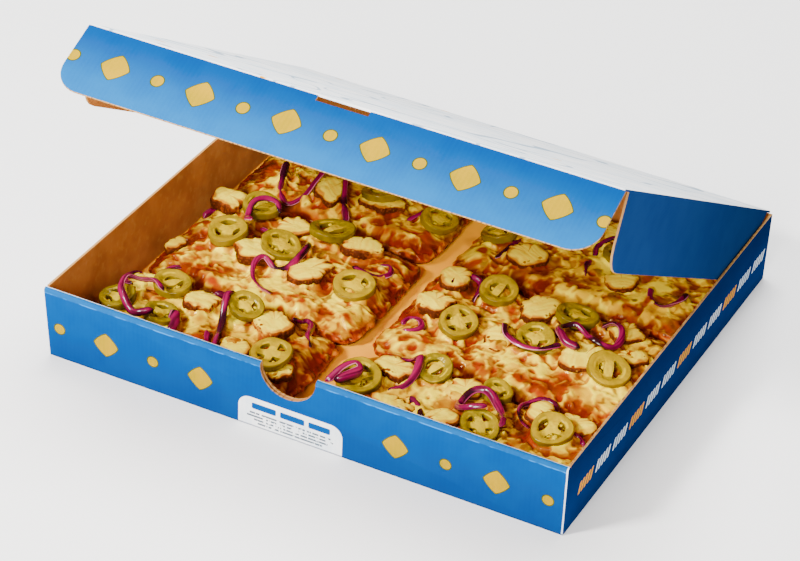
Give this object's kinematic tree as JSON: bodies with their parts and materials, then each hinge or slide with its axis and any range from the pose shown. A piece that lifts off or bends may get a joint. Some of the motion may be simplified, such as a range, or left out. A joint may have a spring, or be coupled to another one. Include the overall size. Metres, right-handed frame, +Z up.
{
  "type": "takeaway pizza in its box",
  "caption": "Rectangular pizza cut in slices, topped with chicken, jalapeno rings and red onion, in a corrugated takeaway box with its lid half open.",
  "frame": {"origin": "middle of the tray's underside", "axes": "+X to the right along the front wall, +Y from the front wall to the lid's hinge, +Z up"},
  "size_m": [0.3836, 0.3571, 0.2335],
  "materials": {
    "printed_board": "blue print on corrugated board, satin, with yellow motifs",
    "white_board": "white printed corrugated board, satin",
    "cheese": "melted cheese over sauce on a baked crust, oily",
    "chicken": "roasted chicken, fibrous, moist",
    "jalapeno": "cooked green pepper, wet",
    "onion": "cooked red onion, wet"
  },
  "bodies": {
    "base": {"tray": "printed_board", "slice_front_left": "cheese", "slice_front_right": "cheese", "slice_middle_left": "cheese", "slice_middle_right": "cheese", "slice_back_left": "cheese", "slice_back_right": "cheese", "chicken_01": "chicken", "chicken_02": "chicken", "chicken_03": "chicken", "chicken_04": "chicken", "chicken_05": "chicken", "chicken_06": "chicken", "chicken_07": "chicken", "chicken_08": "chicken", "chicken_09": "chicken", "chicken_10": "chicken", "chicken_11": "chicken", "chicken_12": "chicken", "jalapeno_01": "jalapeno", "jalapeno_02": "jalapeno", "jalapeno_03": "jalapeno", "jalapeno_04": "jalapeno", "jalapeno_05": "jalapeno", "jalapeno_06": "jalapeno", "jalapeno_07": "jalapeno", "jalapeno_08": "jalapeno", "jalapeno_09": "jalapeno", "jalapeno_10": "jalapeno", "jalapeno_11": "jalapeno", "jalapeno_12": "jalapeno", "jalapeno_13": "jalapeno", "jalapeno_14": "jalapeno", "jalapeno_15": "jalapeno", "jalapeno_16": "jalapeno", "jalapeno_17": "jalapeno", "jalapeno_18": "jalapeno", "jalapeno_19": "jalapeno", "jalapeno_20": "jalapeno", "jalapeno_21": "jalapeno", "jalapeno_22": "jalapeno", "jalapeno_23": "jalapeno", "jalapeno_24": "jalapeno", "onion_01": "onion", "onion_02": "onion", "onion_03": "onion", "onion_04": "onion", "onion_05": "onion", "onion_06": "onion", "onion_07": "onion", "onion_08": "onion", "onion_09": "onion", "onion_10": "onion", "onion_11": "onion", "onion_12": "onion", "onion_13": "onion", "onion_14": "onion", "onion_15": "onion"},
    "lid": {"lid": "white_board"},
    "front_flap": {"front_flap": "printed_board"}
  },
  "joints": [
    {"name": "lid_hinge", "type": "hinge", "parent": "base", "child": "lid", "pos_m": [0, 0.176, 0.054], "axis": [-1, 0, 0], "range_deg": [-30, 150]},
    {"name": "flap_crease", "type": "hinge", "parent": "lid", "child": "front_flap", "pos_m": [0, -0.13181, 0.23206], "axis": [1, 0, 0], "range_deg": [-54, 36]}
  ]
}
